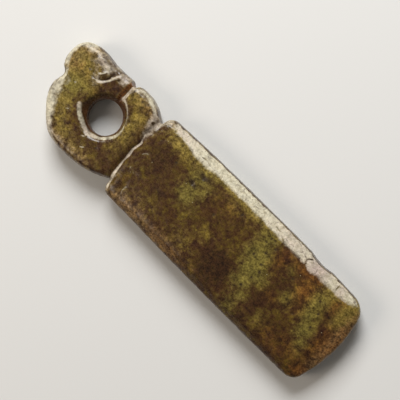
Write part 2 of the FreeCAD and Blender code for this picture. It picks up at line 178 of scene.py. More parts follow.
# Nicks in the blade's front face: half width, height, how pale it is, and path.
NICKS = [
    (0.5, -0.2, 0.0, [(-3.2, 8.7), (-2.2, 8.9)]),
    (0.45, -0.2, 0.0, [(-4.4, 5.8), (-3.7, 5.2)]),
    (0.45, -0.2, 0.3, [(-19.6, 7.4), (-19.0, 8.4), (-18.3, 8.9)]),
    (0.45, -0.2, 0.45, [(-19.3, 2.4), (-20.3, 1.8), (-20.9, 1.0)]),
    (0.4, -0.18, 0.35, [(-20.0, 0.4), (-20.5, -0.6), (-20.7, -2.0)]),
    (0.4, -0.16, 0.35, [(-20.6, -3.8), (-20.4, -5.6)]),
    (0.4, -0.16, 0.3, [(-19.3, -4.5), (-18.4, -4.8), (-17.5, -4.3)]),
    (0.45, -0.2, 0.45, [(-17.5, -8.6), (-17.7, -9.9), (-17.6, -11.0), (-16.9, -12.3)]),
    (0.35, -0.18, 0.0, [(-18.3, -7.2), (-18.5, -9.0), (-18.3, -10.6)]),
    (0.35, -0.16, 0.3, [(10.7, -1.7), (12.0, -1.4)]),
    (0.35, -0.16, 0.3, [(24.7, 9.8), (25.6, 10.4)]),
    (0.35, -0.16, 0.3, [(41.8, -1.0), (42.7, -0.7)]),
    (0.35, -0.16, 0.25, [(45.5, 7.7), (46.8, 8.1)]),
]

# Pits in the front face, where dark grains have dropped out.
PITS = [
    (-2.7, 8.8), (-4.0, 5.4), (22.7, 3.7), (22.9, 8.6), (23.4, 10.3), (24.5, 10.6), (26.3, 8.9),
    (25.0, 6.2), (26.4, 2.9), (27.4, 1.1), (27.0, -1.6), (26.3, -5.2), (45.4, 7.4), (47.6, 4.4),
    (48.6, 0.2), (12.6, 9.2), (-11.8, 6.4), (6.6, 3.4), (35.6, 6.4), (-35.2, 12.6), (-31.4, 12.0),
    (-41.0, 11.6), (-24.8, 9.7), (-49.7, 8.0), (-32.0, -7.4),
]
PIT_RADIUS = 0.42
PIT_DEPTH = 0.22
# Where a pit's wall starts and ends, as shares of its radius.
PIT_WALL_SHARES = (0.55, 1.3)

# Clouds in the stone, each an ellipse across X and Y that goes through it: place, half lengths,
# tilt in degrees and strength.
CLOUDS = {
    "green": [
        (-3.2, 8.2, 4.7, 4.1, 0, 0.66), (0.0, 5.6, 1.9, 6.4, 0, 0.75), (-3.0, 3.0, 4.4, 4.6, 0, 0.7),
        (-1.1, -0.1, 2.5, 1.9, 0, 0.5), (22.9, 9.0, 3.8, 3.6, 0, 0.75), (24.0, 4.1, 4.6, 4.5, 5, 0.9),
        (26.0, 0.2, 4.3, 3.8, 0, 1.0), (25.6, -4.0, 3.0, 3.4, 5, 0.9), (27.8, -7.9, 2.4, 2.9, 0, 0.75),
        (27.6, -11.8, 2.5, 3.0, 0, 0.75), (45.6, 6.6, 3.0, 4.6, 0, 0.72), (46.2, 2.2, 3.0, 3.4, 8, 0.85),
        (48.1, -1.6, 2.9, 3.4, 10, 0.9), (49.6, -4.4, 2.2, 3.2, 26, 0.78), (53.2, 8.6, 2.0, 3.6, 0, 0.25),
        (38.4, 1.6, 2.4, 3.4, 0, 0.75), (36.3, -8.6, 2.7, 3.4, 0, 0.48), (33.6, 7.6, 1.8, 2.6, 0, 0.6),
        (-18.8, -2.4, 1.8, 3.0, 0, 0.38), (-50.4, 1.2, 3.8, 4.0, 0, 0.78), (-47.2, 2.6, 3.2, 2.8, 0, 0.6),
        (-54.8, 8.8, 2.2, 2.9, 0, 0.65), (-51.5, 9.5, 2.3, 1.3, 0, 0.55),
    ],
    "yellow": [
        (-12.4, 11.1, 5.4, 1.8, 0, 1.15), (-19.8, 11.4, 2.4, 1.2, 0, 0.35), (6.0, 11.7, 3.2, 0.8, 0, 0.6),
        (13.2, 11.3, 5.2, 1.3, 0, 0.9), (19.0, 10.8, 2.8, 1.5, 0, 0.6), (53.4, 9.8, 3.0, 4.6, 0, 1.25),
        (55.2, 13.2, 2.4, 1.8, -35, 1.3), (45.6, 7.0, 2.8, 5.0, 0, 0.85), (8.4, -2.8, 4.8, 4.2, 0, 0.34),
        (10.5, 9.4, 8.5, 1.9, 0, 0.52), (5.2, -8.6, 5.6, 4.2, 0, 0.4), (-12.0, -8.5, 5.0, 2.6, 0, 0.4),
        (18.6, 1.3, 2.4, 2.6, 0, 0.35), (39.7, 8.7, 1.2, 2.2, 0, 0.5), (-49.0, -4.5, 3.3, 3.8, 15, 0.85),
        (-46.8, -7.9, 3.4, 2.6, -30, 0.75), (-43.4, -10.2, 5.0, 2.2, -15, 0.8),
        (-36.7, -10.9, 3.4, 1.4, 0, 0.5), (-28.6, 1.6, 1.8, 5.0, 0, 0.45),
        (-32.5, 11.6, 3.8, 2.6, -10, 1.0), (-29.4, 9.3, 3.4, 2.4, -20, 0.6),
        (-42.7, 5.0, 2.2, 2.2, 0, 0.4), (-51.6, 6.4, 6.0, 7.0, 0, 0.85), (-44.0, 2.2, 4.0, 4.0, 0, 0.5),
        (-38.0, -11.5, 9.0, 3.2, 0, 0.5), (-28.8, 4.0, 3.2, 9.0, 0, 0.75),
    ],
    "tan": [
        # The tan along the blade's belly facet is partly a painted warm reflection, and the tan on the end
        # of the cutting edge is partly painted light on a side that faces away from the key lamp.
        (-14.1, -13.2, 8.2, 1.7, 0, 0.8), (0.0, -13.3, 7.5, 1.5, 0, 0.7), (57.6, 1.0, 2.6, 11.0, 0, 1.05),
        (9.5, -13.7, 5.0, 1.2, 0, 0.3), (-21.4, 13.3, 1.8, 1.8, 30, 0.6),
        (-38.3, -13.3, 7.0, 1.4, 2, 0.7), (-31.0, 12.8, 4.6, 1.8, -10, 0.65),
        (-53.5, 12.4, 3.2, 2.0, 5, 0.8), (-47.4, 5.5, 1.8, 1.0, 0, 0.4), (-55.0, 8.2, 2.2, 4.6, 0, 0.7),
    ],
    "rust": [
        (29.4, 8.4, 2.6, 4.4, 0, 0.58), (37.6, 10.6, 4.2, 2.0, 0, 0.85), (40.2, 6.6, 3.2, 5.6, 4, 0.66),
        (43.0, 2.0, 1.2, 1.8, 0, 0.65), (35.4, -1.6, 2.2, 1.6, 0, 0.5), (49.9, 10.2, 1.3, 2.8, 0, 0.8),
        (55.0, -1.6, 3.6, 8.0, 0, 0.66), (57.4, 2.0, 2.8, 12.0, 0, 0.85),
        (56.8, 12.4, 1.6, 2.0, -35, 0.45), (55.7, -11.2, 3.7, 3.2, 8, 0.78),
        # The rust along the blade's belly facet, near Y -13.2, is partly a painted warm reflection.
        (46.0, -9.8, 9.5, 4.6, 0, 0.36), (-13.0, -13.2, 8.5, 1.7, 0, 0.5), (8.4, 8.5, 7.0, 2.1, 0, 0.36),
        (-20.4, -9.0, 1.8, 2.4, 0, 0.4), (-53.8, 6.1, 2.4, 0.8, 0, 0.75), (-54.8, 8.1, 1.7, 0.7, 0, 0.5),
        (-51.6, 10.9, 1.8, 0.6, -10, 0.5), (-29.5, 11.0, 1.7, 1.1, -10, 0.62),
        (-42.9, 4.2, 2.0, 2.6, 0, 0.4), (-26.5, 5.4, 1.6, 2.6, 0, 0.35), (3.0, -13.2, 8.0, 1.6, 0, 0.65),
    ],
    "dark": [
        (-5.6, 3.4, 1.1, 2.6, 0, 0.5), (3.1, 6.1, 1.7, 2.1, -15, 0.65), (2.9, -0.1, 1.4, 1.2, 0, 0.5),
        (-4.0, -1.1, 1.3, 1.6, 0, 0.5), (-14.6, 3.2, 5.2, 5.6, 0, 0.58), (-11.2, -2.9, 4.3, 3.0, 0, 0.4),
        (17.4, -6.8, 5.4, 5.6, -5, 0.95), (22.2, -3.9, 1.6, 3.0, 0, 0.7), (12.8, 5.7, 2.5, 2.3, -5, 0.45),
        (24.3, -9.4, 1.6, 2.4, 0, 0.75), (18.0, 7.1, 1.8, 3.2, 0, 0.4), (32.3, -5.0, 1.7, 7.5, 0, 0.88),
        (30.3, 4.1, 1.2, 2.2, 0, 0.5), (34.3, 3.2, 2.0, 3.4, 0, 0.6), (37.3, -4.0, 2.6, 1.6, 0, 0.55),
        (41.5, -7.9, 3.4, 2.2, 5, 0.72), (47.4, -7.6, 3.4, 1.6, -12, 0.7), (51.5, -9.4, 3.0, 1.6, 0, 0.4),
        (50.2, 6.6, 1.1, 2.6, 0, 1.0), (52.3, 0.7, 0.9, 4.2, 11, 0.5), (56.8, 5.9, 1.3, 1.2, 0, 0.7),
        (-41.8, 5.6, 2.6, 1.6, 25, 0.65), (-40.2, 8.9, 2.0, 1.9, 0, 0.6),
        (-25.4, -2.0, 1.3, 7.8, 0, 0.75), (-27.6, -8.1, 2.6, 2.6, 0, 0.6),
        (-31.6, -7.5, 1.8, 1.6, 0, 0.45), (-37.1, -8.7, 2.8, 1.2, 0, 0.4), (-49.8, 9.3, 0.8, 0.6, 0, 0.5),
    ],
    # Pink and violet tones, which show only where the skin is bleached.
    "rosy": [
        (28.7, 14.2, 7.0, 3.0, 0, 0.45), (38.8, 13.2, 3.4, 3.0, 0, 0.95), (-16.5, 13.7, 4.0, 2.0, 0, 0.6),
        (-40.1, 13.2, 2.5, 2.0, 0, 0.8), (-48.7, 12.2, 2.9, 1.4, 40, 0.95),
        (-24.9, 8.9, 1.7, 3.6, 0, 0.9), (-45.2, -1.2, 0.9, 0.9, 0, 0.8), (-37.6, -5.8, 1.4, 0.9, 0, 0.9),
        (47.7, 13.2, 0.8, 2.0, 0, 0.9), (-43.2, 13.0, 1.6, 1.2, 0, 0.7), (-23.6, -2.0, 1.0, 12.0, 0, 0.8),
        (-44.6, 7.6, 2.0, 1.2, 20, 0.6), (-40.0, -13.4, 6.0, 1.4, 0, 0.7),
        (-36.5, 12.0, 0.8, 4.0, 0, 0.9),
    ],
}

# Pale skin, partly weathered and partly painted highlight where bevels face the key lamp: where the bevels
# have gone pale, and where whole patches have.
PALE_BEVELS_AND_HIGHLIGHTS = [
    (-53.3, 1.4, 1.6, 1.2, -30, 0.8), (-56.9, 8.7, 1.4, 5.0, 0, 0.8), (-54.7, 13.1, 2.8, 1.6, 30, 0.8),
    (-49.7, 14.6, 4.5, 1.0, 0, 0.35), (-43.6, 13.9, 3.0, 0.9, 0, 0.6), (-35.4, 12.7, 0.6, 1.8, -20, 0.6),
    (-36.0, -15.0, 9.0, 0.8, 0, 0.5), (-22.0, 12.8, 1.3, 2.2, -35, 0.75),
]
PALE_PATCHES_AND_HIGHLIGHTS = [
    # The coil, whose pale band is partly painted highlight.
    (-53.8, -0.6, 1.6, 2.8, 10, 0.7), (-53.6, -3.4, 2.2, 2.8, 14, 0.8), (-52.5, -7.2, 2.6, 2.8, 30, 0.95),
    (-51.0, -10.1, 2.6, 2.8, 38, 1.0), (-48.8, -12.8, 2.3, 2.8, 45, 1.0),
    (-45.9, -14.8, 2.7, 1.8, -28, 0.85),
    # The brow, the snout, the side of the neck, the tail and the belly.
    (-48.7, 12.3, 2.6, 1.0, 40, 0.8), (-46.3, 6.2, 1.3, 0.7, -10, 0.55), (-48.0, 13.5, 4.6, 0.9, 0, 0.62),
    (-39.8, 12.9, 2.0, 1.8, 0, 0.68), (-44.6, 12.8, 2.4, 0.9, 0, 0.6), (-25.2, 10.0, 1.4, 2.7, 0, 0.68),
    (-24.1, 8.4, 1.2, 3.6, 0, 0.72), (-31.0, 14.2, 5.2, 1.2, -8, 0.6), (-40.0, -13.4, 5.5, 1.2, 0, 0.4),
    (-52.8, 12.6, 2.8, 1.1, 10, 0.6), (-52.6, 1.3, 1.2, 0.8, -30, 0.7), (-46.6, 12.0, 2.6, 1.3, -8, 0.75),
    (-49.4, 11.4, 1.0, 2.2, 30, 0.6), (-46.3, 7.6, 1.5, 1.0, 0, 0.6),
]

# Pale edges, partly bleached by wear and partly painted highlight where ridges and rims face the key lamp:
# half width, strength and path.
PALE_EDGES_AND_HIGHLIGHTS = [
    # The cheek's ridge, the crescent under the eye and the lid over it; the lit ridge and the crescent are
    # painted highlight with some bleach.
    (0.32, 0.8, [(-46.0, 6.7), (-45.2, 7.0), (-44.4, 7.6), (-43.6, 8.5), (-43.0, 9.5),
                 (-42.5, 10.6), (-42.1, 11.7)]),
    (0.55, 0.62, [(-42.9, 9.8), (-42.1, 11.6), (-41.3, 13.6)]),
    (0.25, 0.85, [(-46.9, 8.8), (-46.2, 9.3), (-45.6, 10.0), (-45.2, 10.7)]),
    (0.5, 0.58, [(-49.2, 10.0), (-49.0, 11.2), (-48.0, 12.0), (-46.6, 12.3), (-45.2, 12.1), (-44.3, 11.5)]),
    # The outside of the coil, from the nape round to the belly: bleach and painted highlight.
    (0.55, 0.8, [(-55.6, 3.9), (-54.2, 2.2), (-54.0, 0.6), (-54.1, -3.0), (-53.0, -6.1),
                 (-51.4, -8.5), (-49.4, -10.9), (-47.0, -13.0), (-44.4, -14.5), (-41.0, -15.2)]),
    # The crest and the tail: bleach and painted highlight along their rims.
    (1.0, 0.85, [(-55.8, 3.8), (-57.4, 6.6), (-57.6, 9.2), (-57.0, 11.6), (-55.6, 13.6), (-52.6, 15.0)]),
    (0.55, 0.72, [(-36.0, 11.4), (-35.0, 13.3), (-33.3, 14.1), (-30.7, 13.9), (-27.7, 12.7), (-24.9, 11.1)]),
    # Scratches on the head and the coil.
    (0.3, 0.8, [(-50.4, 2.4), (-50.0, 1.9)]),
    (0.28, 0.6, [(-47.0, -5.3), (-46.0, -4.8)]),
    (0.22, 0.6, [(-36.0, -10.5), (-34.8, -9.8)]),
    (0.22, 0.6, [(-38.0, -7.8), (-37.0, -7.3)]),
]

# Dark lines, veins and painted shade: half width, strength and path.
DARK_VEINS_AND_NICK_SHADE = [
    # Veins across the bleached strip.
    (0.18, 0.8, [(35.9, 14.3), (34.6, 13.3), (34.9, 12.3), (35.3, 11.4)]),
    (0.18, 0.6, [(46.3, 12.7), (46.2, 14.4)]),
    (0.16, 0.45, [(21.7, 13.7), (23.7, 13.4)]),
    (0.16, 0.5, [(24.6, 12.9), (26.4, 12.2)]),
    (0.16, 0.7, [(33.4, 13.5), (34.1, 13.3)]),
    (0.14, 0.5, [(-7.6, 12.8), (-5.6, 13.1), (-3.9, 12.5)]),
    # The floors of two nicks in the green: painted shade.
    (0.62, 1.0, [(-4.1, 9.5), (-2.7, 8.9), (-1.4, 9.3)]),
    (0.62, 1.0, [(-5.0, 6.1), (-3.9, 5.3), (-2.6, 5.4)]),
]

# The pale strip along the blade's facet, bleached skin and partly painted highlight where the facet
# faces the key lamp: where along X it fades in and out, how much it loses past its end, the fade
# across its lower border, and the X and Y of that border at a few places.
STRIP_FADES_IN = (-21.7, -18.3)
STRIP_FADES_OUT = (51.0, 56.0)
STRIP_END_LOSS = 0.85
STRIP_BORDER_FADE = (-1.3, 1.0)
STRIP_BORDER = [
    (-21.0, 13.6), (-14.7, 12.7), (-8.6, 11.5), (-4.6, 11.4), (-1.0, 12.4), (8.5, 12.4),
    (16.6, 12.3), (25.0, 11.9), (33.8, 12.1), (36.3, 11.5), (37.8, 11.1), (39.6, 12.0),
    (42.3, 11.8), (46.4, 12.0), (48.2, 11.8), (50.7, 12.5), (56.0, 13.6),
]

# The strip's upper edge is duller near the shoulder: the Y where that starts, the X where it ends,
# and how much of the pale it takes.
DULL_EDGE = (14.6, 15.2)
DULL_EDGE_ENDS = (-7.5, -1.5)
DULL_EDGE_LOSS = 0.5

# The yellow halo under the strip: its fade across the strip's border, the X where it stops and
# where it starts again, and its strength.
HALO_BORDER_FADE = (-2.8, -0.6)
HALO_STOPS = (25.5, 27.5)
HALO_STARTS = (43.0, 45.0)
HALO_STRENGTH = 0.85

# How soft the borders of the clouds and of the pale patches are.
CLOUD_SOFTNESS = 2.8
PALE_SOFTNESS = 1.1

# Where a line's full tone ends and its border does, as shares of its half width, where its ends fade,
# as shares of its length, and how much of a nick's half width is pale.
LINE_BORDER_SHARES = (0.3, 1.7)
RIM_BORDER_SHARES = (0.4, 1.6)
LINE_END_SHARES = (-0.1, 0.12)
STROKE_END_SHARES = (-0.12, 0.14)
PALE_NICK_SHARE = 0.6


def add(tree, kind, links=None, **settings):
    """Adds a node: sets it up, then links or sets its inputs, by name or by number."""
    node = tree.nodes.new(kind)
    for name, value in settings.items():
        setattr(node, name, value)
    for key, value in (links or {}).items():
        if isinstance(value, bpy.types.Node):
            value = value.outputs[0]
        if isinstance(value, bpy.types.NodeSocket):
            tree.links.new(value, node.inputs[key])
        else:
            node.inputs[key].default_value = value
    return node


def linear(colour):
    """An sRGB hex colour as linear RGBA."""
    values = [int(colour[place:place + 2], 16) / 255 for place in (1, 3, 5)]
    return [v / 12.92 if v <= 0.04045 else ((v + 0.055) / 1.055) ** 2.4 for v in values] + [1.0]


def smooth(values, low, high):
    """0 below the low value, 1 above the high one, and an even slope with soft ends between."""
    share = np.clip((values - low) / (high - low), 0, 1)
    return share * share * (3 - 2 * share)


# The stone's form.


def merged_copy(node, name):
    """A copy of a CAD node in millimetres, with its loose triangles joined."""
    build = bmesh.new()
    build.from_mesh(node.data)
    bmesh.ops.scale(build, vec=Vector((1, 1, 1)) / MM, verts=build.verts)
    bmesh.ops.remove_doubles(build, verts=build.verts, dist=WELD)
    mesh = bpy.data.meshes.new(name)
    build.to_mesh(mesh)
    build.free()
    piece = bpy.data.objects.new(name, mesh)
    bpy.context.scene.collection.objects.link(piece)
    return piece


def apply_modifiers(piece):
    """Turns what the modifiers make into the piece's own mesh."""
    graph = bpy.context.evaluated_depsgraph_get()
    mesh = bpy.data.meshes.new_from_object(
        piece.evaluated_get(graph), preserve_all_data_layers=True, depsgraph=graph)
    piece.modifiers.clear()
    piece.data = mesh


def remesh(piece):
    """Lays an even grid over the stone, fine enough to carve."""
    grid = piece.modifiers.new("even grid", "REMESH")
    grid.mode = "VOXEL"
    grid.voxel_size = GRID
    grid.use_smooth_shade = True
    apply_modifiers(piece)


def skin_tree(material):
    """Worn stone: softened edges, the swell and chatter of hand grinding, pits and chips."""
    tree = bpy.data.node_groups.new("hand_ground_skin", "GeometryNodeTree")
    tree.interface.new_socket("Geometry", in_out="INPUT", socket_type="NodeSocketGeometry")
    for name, value in SKIN.items():
        kind = "NodeSocketInt" if isinstance(value, int) else "NodeSocketFloat"
        tree.interface.new_socket(name, in_out="INPUT", socket_type=kind)
    tree.interface.new_socket("Material", in_out="INPUT", socket_type="NodeSocketMaterial")
    tree.interface.new_socket("Geometry", in_out="OUTPUT", socket_type="NodeSocketGeometry")
    given = add(tree, "NodeGroupInput").outputs

    worn = add(tree, "GeometryNodeBlurAttribute", data_type="FLOAT_VECTOR", links={
        "Value": add(tree, "GeometryNodeInputPosition"), "Iterations": given["Wear Passes"]})
    rubbed = add(tree, "GeometryNodeBlurAttribute", data_type="FLOAT_VECTOR", links={
        "Value": worn, "Iterations": given["Rubbed Passes"],
        "Weight": add(tree, "GeometryNodeInputNamedAttribute", links={"Name": "rubbed"})})
    softened = add(tree, "GeometryNodeSetPosition", links={
        "Geometry": given["Geometry"], "Position": rubbed})

    place = add(tree, "GeometryNodeInputPosition")
    normal = add(tree, "GeometryNodeInputNormal")
    scales = {name: add(tree, "ShaderNodeMath", operation="DIVIDE", links={0: 1.0, 1: given[name]})
              for name in ["Undulation Size", "Chatter Size", "Pit Spacing", "Chip Size"]}

    # How far each point stands above the stone round it.
    around = add(tree, "GeometryNodeBlurAttribute", data_type="FLOAT_VECTOR", links={
        "Value": place, "Iterations": given["Relief Passes"]})
    out = add(tree, "ShaderNodeVectorMath", operation="SUBTRACT", links={0: place, 1: around})
    proud = add(tree, "ShaderNodeVectorMath", operation="DOT_PRODUCT", links={
        0: out, 1: normal}).outputs["Value"]

    # The swell and the chatter of hand grinding.
    waves = []
    for height, size in [("Undulation", "Undulation Size"), ("Chatter", "Chatter Size")]:
        noise = add(tree, "ShaderNodeTexNoise", noise_dimensions="4D", links={
            "Vector": place, "W": given["Seed"], "Scale": scales[size], "Detail": 2.0})
        wave = add(tree, "ShaderNodeMapRange", clamp=False, links={
            "Value": noise, "From Min": 0.25, "From Max": 0.75, "To Min": -1.0, "To Max": 1.0})
        waves.append(add(tree, "ShaderNodeMath", operation="MULTIPLY", links={
            0: wave, 1: given[height]}))
    swell = add(tree, "ShaderNodeMath", operation="ADD", links={0: waves[0], 1: waves[1]})

    # Pits: a round hollow in about a third of the cells.
    cells = add(tree, "ShaderNodeTexVoronoi", voronoi_dimensions="4D", links={
        "Vector": place, "W": given["Seed"], "Scale": scales["Pit Spacing"]})
    reach = add(tree, "ShaderNodeMath", operation="MULTIPLY", links={
        0: given["Pit Radius"], 1: scales["Pit Spacing"]})
    hollow = add(tree, "ShaderNodeMapRange", interpolation_type="SMOOTHSTEP", links={
        "Value": cells.outputs["Distance"], "From Min": 0.0, "From Max": reach,
        "To Min": 1.0, "To Max": 0.0})
    chosen = add(tree, "ShaderNodeMath", operation="GREATER_THAN", links={
        0: cells.outputs["Color"], 1: 0.62})
    pit = add(tree, "ShaderNodeMath", operation="MULTIPLY", links={0: hollow, 1: chosen})
    pit_depth = add(tree, "ShaderNodeMath", operation="MULTIPLY", links={
        0: pit, 1: given["Pit Depth"]})

    # Chips: the sharpest edges lose stone in places.
    edge = add(tree, "ShaderNodeMapRange", links={
        "Value": proud, "From Min": 0.02, "From Max": 0.14})
    breaks = add(tree, "ShaderNodeTexNoise", noise_dimensions="4D", links={
        "Vector": place, "W": given["Seed"], "Scale": scales["Chip Size"], "Detail": 3.0})
    broken = add(tree, "ShaderNodeMapRange", links={
        "Value": breaks, "From Min": 0.48, "From Max": 0.66})
    chip = add(tree, "ShaderNodeMath", operation="MULTIPLY", links={0: edge, 1: broken})
    chip_depth = add(tree, "ShaderNodeMath", operation="MULTIPLY", links={
        0: chip, 1: given["Chip Depth"]})

    lost = add(tree, "ShaderNodeMath", operation="ADD", links={0: pit_depth, 1: chip_depth})
    height = add(tree, "ShaderNodeMath", operation="SUBTRACT", links={0: swell, 1: lost})
    offset = add(tree, "ShaderNodeVectorMath", operation="SCALE", links={
        0: normal, "Scale": height})
    shaped = add(tree, "GeometryNodeSetPosition", links={
        "Geometry": softened, "Offset": offset})

    # The relief that is left, in millimetres, for the material.
    known = add(tree, "GeometryNodeStoreNamedAttribute", data_type="FLOAT", links={
        "Geometry": shaped, "Name": "relief", "Value": proud})
    shaded = add(tree, "GeometryNodeSetShadeSmooth", links={"Geometry": known})
    real = add(tree, "GeometryNodeRealizeInstances", links={"Geometry": shaded})
    finished = add(tree, "GeometryNodeSetMaterial", links={
        "Geometry": real, "Material": given["Material"]})
    add(tree, "NodeGroupOutput", links={"Geometry": finished})
    return tree


def weather(piece, material):
    """Gives the carved stone its worn skin."""
    modifier = piece.modifiers.new("worn skin", "NODES")
    tree = skin_tree(material)
    modifier.node_group = tree
    given = {socket.name: socket.identifier for socket in tree.interface.items_tree
             if socket.in_out == "INPUT"}
    for name, value in SKIN.items():
        modifier[given[name]] = value
    modifier[given["Material"]] = material
    apply_modifiers(piece)


def places_of(mesh):
    """Where the mesh's vertices are, as rows of X, Y and Z."""
    places = np.empty(len(mesh.vertices) * 3, np.float32)
    mesh.vertices.foreach_get("co", places)
    return places.reshape(-1, 3).astype(float)


def normals_of(mesh):
    """Which way the surface faces at each vertex."""
    normals = np.empty(len(mesh.vertices) * 3, np.float32)
    mesh.vertex_normals.foreach_get("vector", normals)
    return normals.reshape(-1, 3).astype(float)


def move(mesh, places):
    """Puts the mesh's vertices at new places."""
    mesh.vertices.foreach_set("co", places.astype(np.float32).ravel())
    mesh.update()


def distance_to_path(places, path):
    """Distance across X and Y from each point to a path, and how far along it that is, 0 to 1."""
    nearest = np.full(len(places), np.inf)
    along = np.zeros(len(places))
    flat = places[:, :2]
    corners = np.array(path, float)
    last = len(corners) - 1
    for index in range(last):
        start, run = corners[index], corners[index + 1] - corners[index]
        share = np.clip((flat - start) @ run / (run @ run), 0, 1)
        distance = np.linalg.norm(flat - start - share[:, None] * run, axis=1)
        closer = distance < nearest
        nearest[closer] = distance[closer]
        along[closer] = (index + share[closer]) / last
    return nearest, along


def rounded_path(path, steps=8):
    """The path as a smooth line through its points."""
    points = np.array([path[0], *path, path[-1]], float)
    line = []
    for a, b, c, d in zip(points, points[1:], points[2:], points[3:]):
        for share in np.linspace(0, 1, steps, endpoint=False):
            line.append(((2 * b) + (c - a) * share + (2 * a - 5 * b + 4 * c - d) * share ** 2
                         + (3 * b - a - 3 * c + d) * share ** 3) / 2)
    line.append(points[-1])
    return line


def in_pits(places):
    """1 in the middle of each pit, 0 past its border."""
    nearest = np.min([np.linalg.norm(places[:, :2] - pit, axis=1) for pit in PITS], axis=0)
    return 1 - smooth(nearest / PIT_RADIUS, *PIT_WALL_SHARES)


def carve(places, normals, strokes, front_only=False):
    """Raises or cuts the faces along the carver's strokes, each fading out at its ends."""
    height = np.zeros(len(places))
    face = smooth(normals[:, 2] if front_only else np.abs(normals[:, 2]), *CARVED_FACE)
    for half_width, rise, path in strokes:
        distance, along = distance_to_path(places, rounded_path(path))
        section = np.clip(1 - (distance / half_width) ** 2, 0, 1) ** 2
        ends = smooth(np.minimum(along, 1 - along), *STROKE_END_SHARES)
        height += rise * section * ends
    return places + normals * (height * face)[:, None]


def worn_rim(places):
    """Each point's distance from the hole's axis, and the worn rim on its side of the hole."""
    across = places[:, :2] - (HOLE_X, HOLE_Y)
    angle = np.degrees(np.arctan2(across[:, 1], across[:, 0]))
    angles, *columns = zip(*MOUTH_RIM)
    rim = [np.interp(angle, angles, column, period=360) for column in columns]
    return np.linalg.norm(across, axis=1), rim


def flare_hole(places, normals):
    """Wears the mouths of the cord hole wider to one side."""
    radius, (rim, _, _) = worn_rim(places)
    pull = np.clip((rim - FLARE_START) / FLARE_REACH, 0, 1)
    depth = FLARE_DEPTH * pull * (1 - smooth(radius, HOLE_RADIUS + FLARE_CLEARANCE, rim))
    face = smooth(np.abs(normals[:, 2]), *FLARED_FACE)
    lowered = places.copy()
    lowered[:, 2] -= np.sign(normals[:, 2]) * depth * face
    return lowered


def neck_line(places):
    """The shoulder's arris at each point's Y: its X, half width and how pale it is."""
    ys, *columns = zip(*NECK_LINE)
    return [np.interp(places[:, 1], ys, column) for column in columns]


def waver_neck(places):
    """Lets the even arris and groove of the shoulder stray, as a hand-held saw does."""
    x, y = places[:, 0], places[:, 1]
    line, _, _ = neck_line(places)
    sweep = SHOULDER_X + y * y / (2 * SHOULDER_SWEEP)
    near = (1 - smooth(np.abs(x - sweep), *STRAY_REACH)) * (1 - smooth(np.abs(y), *STRAY_ENDS))
    strayed = places.copy()
    strayed[:, 0] += near * (line - sweep)
    return strayed


def rubbed(places, normals):
    """1 along the crease of the belly's facet, which handling has all but smoothed away."""
    crease = 1 - smooth(np.abs(places[:, 1] - BELLY_CREASE_Y), *RUBBED_WIDTHS)
    on_blade = smooth(places[:, 0] - SHOULDER_X, *RUBBED_START)
    return crease * on_blade * smooth(normals[:, 2], *RUBBED_FACE)


def settle(places):
    """Grinds off what stands below the back's plane, so that the stone lies flat."""
    places[:, 2] = np.maximum(places[:, 2], BACK_Z)
    return places


# What the stone's skin shows, kept on the mesh for the material.


def cloud(places, centre_x, centre_y, half_x, half_y, tilt, strength, softness):
    """The strength well inside an ellipse across X and Y, half on its border, 0 well outside."""
    turn = math.radians(tilt)
    x = places[:, 0] - centre_x
    y = places[:, 1] - centre_y
    along = (x * math.cos(turn) + y * math.sin(turn)) / half_x
    across = (y * math.cos(turn) - x * math.sin(turn)) / half_y
    inside = 1 - np.hypot(along, across)
    return strength * np.clip(0.5 + inside * min(half_x, half_y) / (2 * softness), 0, 1)


def any_cloud(places, clouds, softness):
    """The strongest of several clouds at each point."""
    return np.max([cloud(places, *shape, softness) for shape in clouds], axis=0)


def lines(places, paths):
    """The strongest of several soft lines, each of a half width, a strength and a path."""
    strongest = np.zeros(len(places))
    for half_width, strength, path in paths:
        distance, along = distance_to_path(places, rounded_path(path))
        line = strength * (1 - smooth(distance / half_width, *LINE_BORDER_SHARES))
        line *= smooth(np.minimum(along, 1 - along), *LINE_END_SHARES)
        strongest = np.maximum(strongest, line)
    return strongest


def strip_at(places, normals, low, high):
    """The blade's bleached strip, partly painted highlight, which fades in between two distances from its
    lower border.
    """
    x, y = places[:, 0], places[:, 1]
    border = np.interp(x, *zip(*STRIP_BORDER))
    strip = smooth(y - border, low, high) * smooth(np.abs(normals[:, 2]), *STRIP_FACE)
    dull = DULL_EDGE_LOSS * smooth(y, *DULL_EDGE) * (1 - smooth(x, *DULL_EDGE_ENDS))
    ends = smooth(x, *STRIP_FADES_IN) * (1 - STRIP_END_LOSS * smooth(x, *STRIP_FADES_OUT))
    return strip * (1 - dull) * ends


def pale_skin_and_highlights(places, normals):
    """Where the skin is pale, bleached by weather and partly painted highlight: one facet, the worn bevels,
    some patches and rims.
    """
    strip = strip_at(places, normals, *STRIP_BORDER_FADE)
    bevels = any_cloud(places, PALE_BEVELS_AND_HIGHLIGHTS, PALE_SOFTNESS)
    bevels *= 1 - smooth(np.abs(normals[:, 2]), *BEVEL_TO_FACE)
    patches = any_cloud(places, PALE_PATCHES_AND_HIGHLIGHTS, PALE_SOFTNESS)
    edges = lines(places, PALE_EDGES_AND_HIGHLIGHTS)
    nicks = lines(places, [(PALE_NICK_SHARE * half_width, pale, path)
                           for half_width, _, pale, path in NICKS if pale])
    nicks *= smooth(normals[:, 2], *MARKED_FACE)

    # The arris of the shoulder and the rim of the hole, each pale partly from wear and partly as painted
    # highlight.
    line, half_width, strength = neck_line(places)
    off = np.abs(places[:, 0] - line) / half_width
    arris = strength * (1 - smooth(off, *RIM_BORDER_SHARES))
    arris *= 1 - smooth(np.abs(places[:, 1]), *ARRIS_ENDS)
    radius, (rim, half_width, strength) = worn_rim(places)
    band = strength * (1 - smooth(np.abs(radius - rim) / half_width, *RIM_BORDER_SHARES))
    return np.max([strip, bevels, patches, edges, nicks, arris, band], axis=0)


